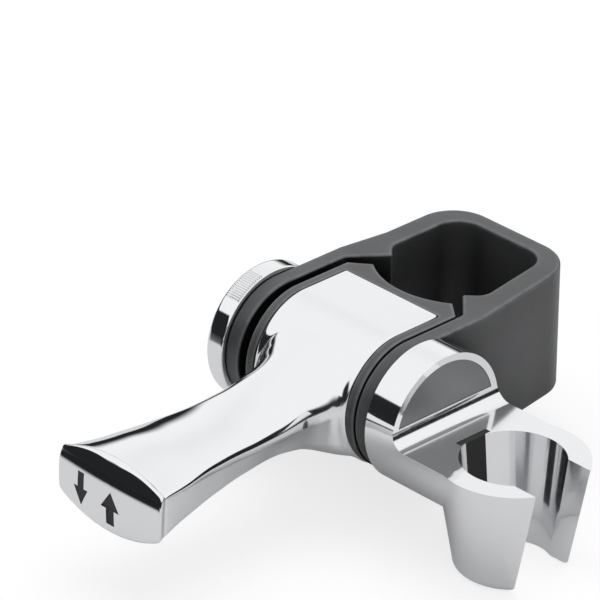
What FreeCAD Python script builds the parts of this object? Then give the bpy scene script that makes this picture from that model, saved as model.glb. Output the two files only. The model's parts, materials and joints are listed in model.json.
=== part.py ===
"""Shower rail slider: a black clamp strap round the rail, a jaw worked by a chrome lever,
and a chrome cradle for the handset that swivels on the same pivot bolt.

Frame: +Z up the rail, +Y towards the wall, +X towards the cradle. The origin is on the rail's
axis at mid height. The lever, the knob and the cradle all turn about one pivot axis along X.
"""
import FreeCAD, Part
import math
import os
import Sketcher

V = FreeCAD.Vector
doc = FreeCAD.newDocument("RailSlider")
sheet = doc.addObject("Spreadsheet::Sheet", "Sizes")

SIZES = {
    # pivot and barrel
    "pivot_reach": 34.0,        # rail axis to pivot axis
    "barrel_length": 30.2,
    "barrel_radius": 16.4,
    "nose_reach": 13.0,         # pivot axis to the flat that presses the jaw
    "relief_radius": 12.3,      # back of the barrel once the lever is down
    "relief_start": 2.0,        # degrees below the nose
    "relief_end": 76.0,
    "journal_radius": 9.0,
    "journal_clearance": 0.05,
    "jaw_travel": 0.6,
    # strap
    "ear_step": 0.6,            # the ears lie this much inside the barrel's round
    "ear_wall": 4.4,
    "side_clearance": 0.1,
    "spring_gap": 2.6,
    "keyhole_radius": 11.4,
    "keyhole_half_height": 7.9,
    "loop_half_width": 15.8,
    "loop_side_wall": 5.8,
    "loop_back_wall": 4.4,
    "loop_back": 17.9,          # rail axis to the inside of the back wall
    "loop_inner_corner": 6.5,
    "loop_outer_corner": 10.0,
    "loop_cradle_corner": 11.6, # the outer corner on the cradle's side
    "loop_taper": 8.5,          # degrees that the wall on the cradle's side closes in to the back
    "horn_half_gap": 12.3,
    "horn_tip": 8.3,            # in front of the rail axis
    "horn_skew": 0.9,           # the horn on the cradle's side reaches this much further forward
    "horn_foot": 16.0,
    "horn_round": 4.0,
    "shoulder_back": 0.3,       # where the arms have drawn in to the loop
    "shoulder_front": 13.6,
    # jaw
    "jaw_step": 0.3,            # the jaw lies this much inside the barrel's round
    "jaw_ear_wall": 2.55,
    "jaw_seat_radius": 22.2,
    "jaw_web": 2.6,
    "jaw_tip_half_width": 12.9,
    "jaw_bevel_reach": 16.0,    # pivot axis to the front of the bevels
    # lever
    "lever_reach": 74.6,        # pivot axis to the front of the end cap
    "cap_skirt": 3.4,
    "cap_dome_radius": 200.0,   # the cap's face, seen from above
    "cap_face_radius": 60.0,    # the cap's face, seen from the side
    "cap_face_height": -6.0,    # of the line that stands furthest forward
    "cap_roll_height": -1.0,    # where the face starts to roll over to the top
    "cap_roll_radius": 12.0,
    "cap_plug_depth": 2.8,
    "cap_plug_inset": 3.6,
    "cap_flare": 1.8,
    "cap_drop": 0.2,
    "cap_fit": 0.05,
    "arrow_length": 8.2,
    "arrow_head_length": 4.3,
    "up_arrow_head_width": 5.9,
    "up_arrow_shaft_width": 2.5,
    "up_arrow_offset": 1.2,
    "up_arrow_height": -5.6,
    "down_arrow_head_width": 4.7,
    "down_arrow_shaft_width": 2.0,
    "down_arrow_offset": -8.7,
    "down_arrow_height": -4.7,
    "arrow_depth": 0.9,
    "arrow_below_face": 0.4,
    "arrow_fit": 0.03,
    # bolt, bushes and washers
    "bolt_radius": 3.0,
    "bolt_tip": 29.0,
    "bolt_head_flats": 10.0,
    "bolt_head_height": 3.4,
    "barrel_bore_radius": 3.4,
    "bush_fit": 0.05,
    "spigot_radius": 6.0,
    "spigot_reach": 12.5,
    "spigot_socket_reach": 12.0,
    "washer_wall": 1.0,
    "washer_radius": 12.3,
    "washer_fit": 0.05,
    "spring_strip": 0.4,
    "spring_inner_radius": 6.6,
    "spring_outer_radius": 8.8,
    "spring_plate_wall": 0.5,
    # knob
    "knob_radius": 16.9,
    "knob_length": 5.5,
    "knob_edge_round": 1.1,
    "groove_depth": 0.3,
    "groove_width": 0.34,
    "groove_count": 14,
    "groove_pitch": 2.15,       # degrees
    "groove_first": 48.5,       # degrees above the front
    "groove_patches": 2,
    "groove_length": 4.1,
    # cradle
    "hub_radius": 16.9,
    "hub_length": 8.5,
    "hub_face_chord": 3.8,
    "hub_face_margin": 1.7,
    "hub_face_depth": 0.8,
    "hub_face_fit": 0.03,
    "hub_blend": 3.8,
    "insert_radius": 4.5,
    "insert_length": 6.0,
    "insert_fit": 0.02,
    "socket_reach": 52.4,       # middle of the barrel to the socket's axis
    "socket_top_radius": 12.25,
    "socket_bottom_radius": 9.5,
    "socket_depth": 26.9,
    "socket_wall_top": 5.35,
    "socket_wall_bottom": 3.6,
    "socket_foot_round": 1.4,
    "mouth_half_width": 8.6,
    "pad_width": 9.4,
    "pad_wall": 1.5,
    "pad_depth": 22.0,
    "pad_inset": 0.35,
    "pad_fit": 0.05,
}

# The neck from the cap's seam inwards. Reach, half width, crown, tilt of the crown at its ends in
# degrees, shoulder radius, then half width, depth, tilt and radius of the underside.
NECK_SIZES = ("reach", "half", "crown", "tilt", "shoulder", "foot", "belly", "foot_tilt", "foot_round")
NECK = [
    (71.2, 15.9, 5.6, 23, 1.0, 15.5, 11.9, 26, 1.5),
    (62.0, 14.1, 5.7, 29, 2.0, 13.1, 11.2, 28, 2.5),
    (52.0, 12.3, 5.1, 22, 3.5, 11.4, 9.9, 28, 3.0),
    (42.0, 11.4, 4.7, 16, 4.5, 10.6, 8.7, 28, 3.5),
    (33.0, 11.2, 5.5, 13, 6.0, 10.6, 8.0, 28, 4.0),
    (24.0, 10.9, 8.0, 12, 7.5, 10.6, 9.0, 28, 4.0),
    (18.0, 11.0, 10.8, 12, 7.5, 10.8, 11.2, 24, 4.0),
]
# The neck's root in the barrel: its half widths, crown and depth are given as steps inside the barrel's.
ROOT = [
    (11.0, 2.4, 2.1, 10, 5.5, 2.5, 2.2, 20, 3.0),
    (2.0, 0.7, 0.7, 7, 2.5, 0.9, 1.2, 20, 2.0),
]
BARREL_SIZES = {"half": "@barrel_length / 2", "foot": "@barrel_length / 2",
                "crown": "@barrel_radius", "belly": "@barrel_radius"}
for number, station in enumerate(NECK + ROOT):
    for name, size in zip(NECK_SIZES, station):
        SIZES[f"neck_{name}_{number}"] = size
for row, (name, size) in enumerate(SIZES.items(), start=1):
    sheet.set(f"A{row}", name)
    sheet.set(f"B{row}", str(size))
    sheet.setAlias(f"B{row}", name)
doc.recompute()

FAR = 200.0


def val(text):
    """The value of an expression over the sheet."""
    return float(sheet.evalExpression(text.replace("@", "Sizes.")))


def expr(text):
    return text.replace("@", "Sizes.")


def new_body(name):
    body = doc.addObject("PartDesign::Body", name)
    body.Label = name
    return body


def plane_of(body, role):
    return next(f for f in body.Origin.OriginFeatures if f.Role == role)


def new_sketch(body, role, offset=None):
    """A sketch on an origin plane of its own body; offset is an expression along its normal."""
    sketch = body.newObject("Sketcher::SketchObject", f"{body.Name}_outline")
    sketch.AttachmentSupport = [(plane_of(body, role), "")]
    sketch.MapMode = "FlatFace"
    if offset:
        sketch.AttachmentOffset = FreeCAD.Placement(V(0, 0, val(offset)), FreeCAD.Rotation())
        sketch.setExpression("AttachmentOffset.Base.z", expr(offset))
    return sketch


def constrain(sketch, constraints):
    """Add constraints given as (constraint, expression or None) and bind their values."""
    first = sketch.ConstraintCount
    sketch.addConstraint([constraint for constraint, _ in constraints])
    for index, (_, text) in enumerate(constraints, start=first):
        if text:
            sketch.setExpression(f"Constraints[{index}]", expr(text))


def pinned(geo, point, x_text, y_text):
    """Constraints that hold a point of the sketch at two expressions."""
    return [(Sketcher.Constraint(kind, -1, 1, geo, point, val(text)), text)
            for kind, text in (("DistanceX", x_text), ("DistanceY", y_text))]


def circle(sketch, x_text, y_text, radius_text):
    centre = V(val(x_text), val(y_text), 0)
    geo = sketch.addGeometry(Part.Circle(centre, V(0, 0, 1), val(radius_text)))
    radius = (Sketcher.Constraint("Radius", geo, val(radius_text)), radius_text)
    constrain(sketch, pinned(geo, 3, x_text, y_text) + [radius])


def outline(sketch, points, arcs=None):
    """A closed outline through points given as expressions.

    arcs maps the number of a side to (radius expression, bulge): the bulge is +1 where the arc
    lies to the right of its side, walking along it, and -1 where it lies to the left.
    """
    arcs = arcs or {}
    spots = [V(val(x), val(y), 0) for x, y in points]
    sides = []
    held = []
    for i, start in enumerate(spots):
        end = spots[(i + 1) % len(spots)]
        if i not in arcs:
            sides.append((sketch.addGeometry(Part.LineSegment(start, end)), 1, 2))
            continue
        radius_text, bulge = arcs[i]
        radius = val(radius_text)
        chord = end - start
        left = V(-chord.y, chord.x, 0).normalize()
        reach = math.sqrt(max(radius ** 2 - chord.Length ** 2 / 4, 0))
        centre = (start + end) * 0.5 + left * (bulge * reach)
        first, last = (start, end) if bulge > 0 else (end, start)
        turns = [math.atan2(spot.y - centre.y, spot.x - centre.x) for spot in (first, last)]
        if turns[1] < turns[0]:
            turns[1] += 2 * math.pi
        geo = sketch.addGeometry(Part.ArcOfCircle(Part.Circle(centre, V(0, 0, 1), radius), *turns))
        held.append((Sketcher.Constraint("Radius", geo, radius), radius_text))
        sides.append((geo, 1, 2) if bulge > 0 else (geo, 2, 1))
    for i, (geo, begin, _) in enumerate(sides):
        before, _, end = sides[i - 1]
        held.append((Sketcher.Constraint("Coincident", before, end, geo, begin), None))
        held.extend(pinned(geo, begin, *points[i]))
    constrain(sketch, held)


def feature(body, kind, name, sketch, **properties):
    """A pad, pocket, revolution or groove; a property with an @ in it is bound to the sheet."""
    item = body.newObject(f"PartDesign::{kind}", f"{body.Name}_{name}")
    item.Profile = sketch
    for key, value in properties.items():
        if isinstance(value, str) and "@" in value:
            item.setExpression(key, expr(value))
        else:
            setattr(item, key, value)
    return item


def pad(body, name, sketch, length, side="One side", back=False):
    return feature(body, "Pad", name, sketch, Length=length, SideType=side, Reversed=back)


def cut(body, name, sketch, length=None, side="One side", back=False):
    """A pocket against the sketch's normal, or along it where back is set."""
    return feature(body, "Pocket", name, sketch, Length=length or FAR, SideType=side, Reversed=back)


def cut_through(body, name, sketch):
    return cut(body, name, sketch, 2 * FAR, "Symmetric")


def on_pivot(item, along="0 * @pivot_reach"):
    """Pieces drawn round the pivot axis stand in front of the rail, off the strap's middle."""
    item.setExpression("Placement.Base.x", expr(f"{along} - {STRAP_MID}"))
    item.setExpression("Placement.Base.y", expr("-@pivot_reach"))
    return item


def mirrored(points):
    """Points of one side, then the same points on the other side in reverse."""
    return points + [(f"-({x})", y) for x, y in reversed(points)]


EAR_RADIUS = "(@barrel_radius - @ear_step)"
JAW_RADIUS = "(@barrel_radius - @jaw_step)"

# Places along the pivot axis
JAW_OUT = "(@barrel_length / 2 + @side_clearance + @jaw_ear_wall)"
RIGHT_IN = f"({JAW_OUT} + @side_clearance)"
RIGHT_OUT = f"({RIGHT_IN} + @ear_wall)"
LEFT_IN = f"({JAW_OUT} + @spring_gap)"
LEFT_OUT = f"({LEFT_IN} + @ear_wall)"
HUB_IN = f"({RIGHT_OUT} + @side_clearance)"
HUB_OUT = f"({HUB_IN} + @hub_length)"
KNOB_IN = f"({LEFT_OUT} + @side_clearance)"
HEAD_IN = f"({KNOB_IN} + @washer_wall)"
STRAP_MID = f"(({RIGHT_IN} - {LEFT_IN}) / 2)"
EAR_HALF_GAP = f"(({RIGHT_IN} + {LEFT_IN}) / 2)"


def round_ears(body, radius, centre, name):
    """Cut the ends of two ears round about the pivot axis."""
    clear = f"({radius} + 1)"
    sketch = new_sketch(body, "YZ_Plane")
    outline(sketch, [
        (centre, radius), (f"{centre} - {radius}", "0 * @barrel_radius"), (centre, f"-{radius}"),
        (centre, f"-{clear}"), (f"{centre} - {clear}", f"-{clear}"),
        (f"{centre} - {clear}", clear), (centre, clear),
    ], {0: (radius, 1), 1: (radius, 1)})
    cut_through(body, name, sketch)


def double_d(sketch, centre, radius, half_height):
    """A circle with flats above and below."""
    half = f"sqrt({radius}^2 - {half_height}^2)"
    outline(sketch, [
        (f"{centre} - {half}", half_height), (f"{centre} + {half}", half_height),
        (f"{centre} + {half}", f"-{half_height}"), (f"{centre} - {half}", f"-{half_height}"),
    ], {1: (radius, -1), 3: (radius, -1)})


def make_strap():
    body = new_body("rail_strap")
    arm = f"({EAR_HALF_GAP} + @ear_wall)"
    loop = "(@loop_half_width + @loop_side_wall)"
    back = "(@loop_back + @loop_back_wall)"
    front = f"-(@pivot_reach + {EAR_RADIUS})"
    run = "(@horn_round * 0.4142)"

    def right_side(half, y_from, y_to, corner):
        """The two ends of a tapered side's corner: the side's end and the back wall's end."""
        y_end = f"({y_to} - {corner} * (1 - sin(@loop_taper)))"
        x_end = f"({half} - ({y_end} - ({y_from})) * tan(@loop_taper))"
        return [(x_end, y_end), (f"{x_end} - {corner} * cos(@loop_taper)", y_to)]

    def horn(side):
        """The inside of one arm from the loop's side to the ear; side is + or - the horn's skew."""
        tip = f"(@horn_tip {side} @horn_skew)"
        corner = f"(@loop_half_width - @horn_half_gap - {tip})"
        return [
            ("@loop_half_width", f"{corner} + {run}"),
            (f"@loop_half_width - {run} * 0.7071", f"{corner} - {run} * 0.7071"),
            ("@horn_half_gap", f"-{tip}"), (EAR_HALF_GAP, "-@horn_foot"), (EAR_HALF_GAP, front),
        ]

    def left(points):
        return [(f"-({x})", y) for x, y in reversed(points)]

    right_horn = horn("+")
    side_end, back_end = right_side(loop, "-@shoulder_back", back, "@loop_cradle_corner")
    inner_side_end, inner_back_end = right_side("@loop_half_width", right_horn[0][1], "@loop_back",
                                                "@loop_inner_corner")
    points = [(arm, front), (arm, "-@shoulder_front"), (loop, "-@shoulder_back"), side_end, back_end]
    points += left([(arm, front), (arm, "-@shoulder_front"), (loop, "-@shoulder_back"),
                    (loop, f"{back} - @loop_outer_corner"), (f"{loop} - @loop_outer_corner", back)])
    points += left([("@loop_half_width - @loop_inner_corner", "@loop_back"),
                    ("@loop_half_width", "@loop_back - @loop_inner_corner")] + horn("-"))
    points += [inner_back_end, inner_side_end] + right_horn
    sketch = new_sketch(body, "XY_Plane")
    outline(sketch, points, {
        3: ("@loop_cradle_corner", 1), 5: ("@loop_outer_corner", 1),
        13: ("@horn_round", -1), 15: ("@loop_inner_corner", -1),
        17: ("@loop_inner_corner", -1), 19: ("@horn_round", -1),
    })
    pad(body, "wall", sketch, f"2 * {EAR_RADIUS}", "Symmetric")
    round_ears(body, EAR_RADIUS, "-@pivot_reach", "ears")
    sketch = new_sketch(body, "YZ_Plane")
    double_d(sketch, "-@pivot_reach", "@keyhole_radius", "@keyhole_half_height")
    cut_through(body, "keyholes", sketch)
    return body


def make_jaw():
    body = on_pivot(new_body("saddle_jaw"))
    inside = f"({JAW_OUT} - @jaw_ear_wall)"
    web = "(@nose_reach + @side_clearance)"
    seat = f"({web} + @jaw_web)"
    rise = "(@jaw_seat_radius - sqrt(@jaw_seat_radius^2 - @jaw_tip_half_width^2))"
    half = [(inside, web), (inside, f"-{JAW_RADIUS}"), (JAW_OUT, f"-{JAW_RADIUS}"),
            (JAW_OUT, "@jaw_bevel_reach"), ("@jaw_tip_half_width", f"{seat} + {rise}")]
    sketch = new_sketch(body, "XY_Plane")
    outline(sketch, mirrored(half), {4: ("@jaw_seat_radius", -1)})
    pad(body, "wall", sketch, f"2 * {JAW_RADIUS}", "Symmetric")
    round_ears(body, JAW_RADIUS, "0 * @barrel_radius", "ears")
    sketch = new_sketch(body, "YZ_Plane")
    hole = "(@journal_radius + @journal_clearance)"
    outline(sketch, [
        ("0 * @jaw_travel", hole), ("@jaw_travel", hole), (f"@jaw_travel + {hole}", "0 * @jaw_travel"),
        ("@jaw_travel", f"-{hole}"), ("0 * @jaw_travel", f"-{hole}"), (f"-{hole}", "0 * @jaw_travel"),
    ], {1: (hole, -1), 2: (hole, -1), 4: (hole, -1), 5: (hole, -1)})
    cut_through(body, "journal_slots", sketch)
    return body


def neck_section(body, number, inset="0 * @cap_fit", grow="0 * @cap_fit", drop="0 * @cap_fit", offset=None):
    """The neck's outline at one of its stations: crown, shoulders, sides, foot rounds and belly."""
    size = {name: f"@neck_{name}_{number}" for name in NECK_SIZES}
    if number >= len(NECK):
        for name, barrel in BARREL_SIZES.items():
            size[name] = f"({barrel} - {size[name]})"
    change = f"({grow} - ({inset}))"

    def half_outline(half, rise, tilt, radius):
        """Where the wide arc meets the shoulder, where the shoulder ends, and the wide arc's radius."""
        wide = f"({radius} + ({half} - {radius}) / sin({tilt}))"
        meet = (f"{wide} * sin({tilt})", f"({rise} - {wide} * (1 - cos({tilt})))")
        end = (half, f"({rise} - {wide} + ({wide} - {radius}) * cos({tilt}))")
        return meet, end, wide

    meet, end, crown = half_outline(f"({size['half']} + {change})", f"({size['crown']} + {change})",
                                    size["tilt"], size["shoulder"])
    foot_meet, foot_end, belly = half_outline(f"({size['foot']} + {change})",
                                              f"({size['belly']} + {drop} - ({inset}))",
                                              size["foot_tilt"], size["foot_round"])
    sketch = new_sketch(body, "XZ_Plane", offset or size["reach"])
    right = [meet, end, (foot_end[0], f"-{foot_end[1]}"), (foot_meet[0], f"-{foot_meet[1]}")]
    points = right + [(f"-({x})", z) for x, z in reversed(right)]
    outline(sketch, points, {
        0: (size["shoulder"], -1), 2: (size["foot_round"], -1), 3: (belly, -1), 4: (size["foot_round"], -1),
        6: (size["shoulder"], -1), 7: (crown, -1),
    })
    return sketch


def make_lever():
    body = on_pivot(new_body("lever_handle"))
    zero = "0 * @barrel_radius"
    sketch = new_sketch(body, "YZ_Plane")
    outline(sketch, [
        (zero, "@barrel_radius"), ("@nose_reach", "@barrel_radius"), ("@nose_reach", zero),
        ("@relief_radius * cos(@relief_start)", "-@relief_radius * sin(@relief_start)"),
        ("@relief_radius * cos(@relief_end)", "-@relief_radius * sin(@relief_end)"),
        ("@barrel_radius * cos(@relief_end)", "-@barrel_radius * sin(@relief_end)"),
        (zero, "-@barrel_radius"), ("-@barrel_radius", zero),
    ], {3: ("@relief_radius", -1), 5: ("@barrel_radius", -1), 6: ("@barrel_radius", -1),
        7: ("@barrel_radius", -1)})
    pad(body, "barrel", sketch, "@barrel_length", "Symmetric")
    seam = "@lever_reach - @cap_skirt"
    stations = [neck_section(body, 0, offset=seam)]
    stations += [neck_section(body, number) for number in range(1, len(NECK + ROOT))]
    neck = body.newObject("PartDesign::AdditiveLoft", "lever_neck")
    neck.Profile = stations[0]
    neck.Sections = stations[1:]
    sketch = new_sketch(body, "YZ_Plane")
    circle(sketch, zero, zero, "@journal_radius")
    pad(body, "journals", sketch, f"2 * ({JAW_OUT} - @bush_fit)", "Symmetric")
    sketch = new_sketch(body, "YZ_Plane")
    circle(sketch, zero, zero, "@barrel_bore_radius")
    cut_through(body, "bore", sketch)
    for sign, back in (("", True), ("-", False)):
        sketch = new_sketch(body, "YZ_Plane", f"{sign}@spigot_socket_reach")
        circle(sketch, zero, zero, "@spigot_radius + @bush_fit")
        cut(body, "spigot_socket", sketch, back=back)
    sketch = neck_section(body, 0, inset="@cap_plug_inset - @cap_fit", offset=seam)
    cut(body, "cap_socket", sketch, "@cap_plug_depth + 0.5")
    return body


def arrow_outline(sketch, name, pointing, grow):
    """An arrow of one head and one shaft, centred on its own place on the cap."""
    tip = f"{pointing} * (@arrow_length / 2 + {grow})"
    neck = f"{pointing} * (@arrow_length / 2 - @arrow_head_length - {grow})"
    tail = f"-({tip})"
    head = f"(@{name}_head_width / 2 + {grow})"
    shaft = f"(@{name}_shaft_width / 2 + {grow})"
    points = [("0 * @arrow_length", tip), (head, neck), (shaft, neck), (shaft, tail),
              (f"-{shaft}", tail), (f"-{shaft}", neck), (f"-{head}", neck)]
    outline(sketch, [(f"@{name}_offset + {x}", f"@{name}_height + {z}") for x, z in points])


ARROWS = {"down_arrow": -1, "up_arrow": 1}
ARROW_FLOOR = "@lever_reach - @arrow_depth"


def make_cap():
    body = on_pivot(new_body("lever_end_cap"))
    seam = neck_section(body, 0, offset="@lever_reach - @cap_skirt + @cap_fit")
    face = neck_section(body, 0, grow="@cap_flare", drop="@cap_drop", offset="@lever_reach")
    skirt = body.newObject("PartDesign::AdditiveLoft", "cap_skirt")
    skirt.Profile = seam
    skirt.Sections = [face]
    sketch = neck_section(body, 0, inset="@cap_plug_inset", offset="@lever_reach - @cap_skirt / 2")
    pad(body, "plug", sketch, "@cap_skirt / 2 + @cap_plug_depth", back=True)
    sketch = new_sketch(body, "YZ_Plane")
    sketch.setExpression("AttachmentOffset.Base.x", expr("-(@lever_reach - @cap_dome_radius)"))
    middle = "(@cap_dome_radius - @cap_face_radius)"
    turn = "((@cap_roll_height - @cap_face_height) / @cap_face_radius)"
    low = "(@neck_belly_0 + @cap_drop + 1)"
    high = "(@neck_crown_0 + @cap_flare + 1)"
    roll_y = f"({middle} + (@cap_face_radius - @cap_roll_radius) * sqrt(1 - {turn}^2))"
    roll_z = f"(@cap_face_height + (@cap_face_radius - @cap_roll_radius) * {turn})"
    foot = f"({middle} + sqrt(@cap_face_radius^2 - ({low} + @cap_face_height)^2))"
    start = f"({middle} + sqrt(@cap_face_radius^2 - (@cap_roll_height - @cap_face_height)^2))"
    end = f"({roll_y} + sqrt(@cap_roll_radius^2 - ({high} - {roll_z})^2))"
    ahead = "-(@cap_dome_radius + 2)"
    outline(sketch, [
        (f"-{foot}", f"-{low}"), (f"-{start}", "@cap_roll_height"), (f"-{end}", high),
        (ahead, high), (ahead, f"-{low}"),
    ], {0: ("@cap_face_radius", -1), 1: ("@cap_roll_radius", -1)})
    feature(body, "Groove", "face", sketch, ReferenceAxis=(sketch, ["V_Axis"]), Angle=360)
    for name, pointing in ARROWS.items():
        sketch = new_sketch(body, "XZ_Plane", ARROW_FLOOR)
        arrow_outline(sketch, name, pointing, "@arrow_fit")
        cut(body, "arrow_recess", sketch, back=True)
    return body


def make_arrow(name):
    body = on_pivot(new_body(f"{name}_inlay"))
    sketch = new_sketch(body, "XZ_Plane", f"{ARROW_FLOOR} + @arrow_fit")
    arrow_outline(sketch, name, ARROWS[name], "0 * @arrow_fit")
    pad(body, "inlay", sketch, "@arrow_depth - @arrow_fit - @arrow_below_face")
    return body


def make_bush(name, sign, inner_face):
    """A bush keyed into an ear, with a spigot that carries one end of the barrel."""
    body = on_pivot(new_body(name))
    right = sign == ""
    zero = "0 * @bush_fit"
    sketch = new_sketch(body, "YZ_Plane", f"{sign}{inner_face}")
    double_d(sketch, zero, "(@keyhole_radius - @bush_fit)", "(@keyhole_half_height - @bush_fit)")
    pad(body, "key", sketch, "@ear_wall", back=not right)
    sketch = new_sketch(body, "YZ_Plane", f"{sign}{inner_face}")
    circle(sketch, zero, zero, "@spigot_radius")
    pad(body, "spigot", sketch, f"{inner_face} - @spigot_reach", back=right)
    sketch = new_sketch(body, "YZ_Plane")
    circle(sketch, zero, zero, "@bolt_radius + @bush_fit")
    cut_through(body, "bore", sketch)
    return body


def make_ring(name, start, length, outer, inner):
    """A flat ring round the pivot axis, from start along +X."""
    body = on_pivot(new_body(name))
    zero = "0 * @bush_fit"
    sketch = new_sketch(body, "YZ_Plane", start)
    circle(sketch, zero, zero, outer)
    circle(sketch, zero, zero, inner)
    pad(body, "ring", sketch, length)
    return body


def make_bolt():
    """Hexagon bolt along the pivot axis, its head in the knob and its tip in the cradle."""
    head = doc.addObject("Part::Prism", "bolt_head")
    head.Polygon = 6
    head.setExpression("Circumradius", expr("@bolt_head_flats / sqrt(3)"))
    head.setExpression("Height", expr("@bolt_head_height"))
    shank = doc.addObject("Part::Cylinder", "bolt_shank")
    shank.setExpression("Radius", expr("@bolt_radius"))
    shank.setExpression("Height", expr(f"{HEAD_IN} + @bolt_tip"))
    along_x = FreeCAD.Rotation(V(0, 1, 0), 90)
    for item, start in ((head, f"-({HEAD_IN} + @bolt_head_height)"), (shank, f"-{HEAD_IN}")):
        item.Placement = FreeCAD.Placement(V(), along_x)
        on_pivot(item, start)
    bolt = doc.addObject("Part::Fuse", "pivot_bolt")
    bolt.Base = head
    bolt.Tool = shank
    bolt.Label = "pivot_bolt"
    return bolt


def make_knob():
    body = on_pivot(new_body("tension_knob"))
    zero = "0 * @knob_radius"
    outer = f"-({KNOB_IN} + @knob_length)"
    sketch = new_sketch(body, "YZ_Plane", outer)
    circle(sketch, zero, zero, "@knob_radius")
    disc = pad(body, "disc", sketch, "@knob_length")
    doc.recompute()
    rim = body.newObject("PartDesign::Fillet", "knob_rim")
    rim.Base = (disc, [f"Edge{i}" for i, edge in enumerate(disc.Shape.Edges, start=1)
                       if abs(edge.BoundBox.XMax - val(outer)) < 0.01])
    rim.setExpression("Radius", expr("@knob_edge_round"))
    sketch = new_sketch(body, "YZ_Plane", f"-{HEAD_IN}")
    circle(sketch, zero, zero, "@washer_radius + @washer_fit")
    cut(body, "washer_seat", sketch, back=True)
    sketch = new_sketch(body, "YZ_Plane", f"-{HEAD_IN}")
    corner = "(@bolt_head_flats / sqrt(3) + @bush_fit * 1.1547)"
    hexagon = [(f"{corner} * {math.sin(math.radians(60 * i)):.6f}",
                f"{corner} * {math.cos(math.radians(60 * i)):.6f}") for i in range(6)]
    outline(sketch, hexagon)
    cut(body, "head_socket", sketch, "@bolt_head_height + @bush_fit")
    doc.recompute()
    groove = new_sketch(body, "YZ_Plane", f"-({KNOB_IN} + (@knob_length - @groove_length) / 2)")
    turn = "@groove_first"
    points = []
    for radial, across in (("@knob_radius - @groove_depth", "0"), ("@knob_radius + 0.05", "-1"),
                           ("@knob_radius + 0.05", "1")):
        points.append((f"-({radial}) * cos({turn}) + {across} * @groove_width / 2 * sin({turn})",
                       f"({radial}) * sin({turn}) + {across} * @groove_width / 2 * cos({turn})"))
    outline(groove, points)
    first = cut(body, "groove", groove, "@groove_length")
    doc.recompute()
    axis = (groove, ["N_Axis"])
    row = body.newObject("PartDesign::PolarPattern", "knob_groove_row")
    patches = body.newObject("PartDesign::PolarPattern", "knob_groove_patches")
    grooves = body.newObject("PartDesign::MultiTransform", "knob_grooves")
    grooves.Originals = [first]
    for pattern, angle, count in ((row, "@groove_pitch * (@groove_count - 1)", "@groove_count"),
                                  (patches, "360 * (@groove_patches - 1) / @groove_patches", "@groove_patches")):
        pattern.Axis = axis
        pattern.setExpression("Angle", expr(angle))
        pattern.setExpression("Occurrences", expr(count))
    row.Reversed = True
    grooves.Transformations = [row, patches]
    body.Tip = grooves
    return body


def make_wave_spring():
    """A three-lobed wave spring that pushes the barrel towards the cradle's side."""
    inner = val("@spring_inner_radius")
    outer = val("@spring_outer_radius")
    strip = val("@spring_strip")
    plate = val(f"-({JAW_OUT} + @washer_fit + @spring_plate_wall + @washer_fit)")
    room = val(f"-{LEFT_IN} + @washer_fit")
    swing = (plate - room - strip) / 2
    middle = (plate + room) / 2
    lobes = 3
    steps = 48

    def loop(radius, lift):
        spots = []
        for i in range(steps):
            turn = 2 * math.pi * i / steps
            x = middle + lift + swing * math.cos(lobes * turn)
            spots.append(V(x, radius * math.cos(turn), radius * math.sin(turn)))
        curve = Part.BSplineCurve()
        curve.interpolate(spots, PeriodicFlag=True)
        return Part.Wire([curve.toShape()])

    rails = [loop(inner, -strip / 2), loop(outer, -strip / 2), loop(outer, strip / 2), loop(inner, strip / 2)]
    faces = []
    for i, rail in enumerate(rails):
        strip_face = Part.makeRuledSurface(rail, rails[(i + 1) % 4])
        faces.extend(strip_face.Faces)
    solid = Part.Solid(Part.Shell(faces))
    if solid.Volume < 0:
        solid.reverse()
    spring = doc.addObject("Part::Feature", "wave_spring")
    spring.Label = "wave_spring"
    spring.Shape = solid
    return on_pivot(spring)


def hub_face(sketch, inset):
    """The D-shaped face: the hub's circle less its margin, cut off by a level chord."""
    radius = f"(@hub_radius - @hub_face_margin - {inset})"
    chord = f"(@hub_face_chord + {inset})"
    half = f"sqrt({radius}^2 - {chord}^2)"
    outline(sketch, [(f"-{half}", chord), ("0 * @hub_radius", radius), (half, chord)],
            {0: (radius, -1), 1: (radius, -1)})


def socket_radius(depth):
    """The socket's radius at a depth below its rim."""
    return f"(@socket_top_radius + (@socket_bottom_radius - @socket_top_radius) * {depth} / @socket_depth)"


def pad_profile(sketch, grow):
    """The rubber pad's section, leaning with the socket's wall."""
    face = []
    back = []
    top = "0 * @pad_depth"
    foot = f"(@pad_depth + {grow})"
    for depth in (top, foot):
        wall = socket_radius(f"({depth})")
        face.append((f"-({wall} - @pad_inset - {grow})", f"-({depth})"))
        back.append((f"-({wall} + @pad_wall - @pad_inset + {grow})", f"-({depth})"))
    outline(sketch, [face[0], face[1], back[1], back[0]])


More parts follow.
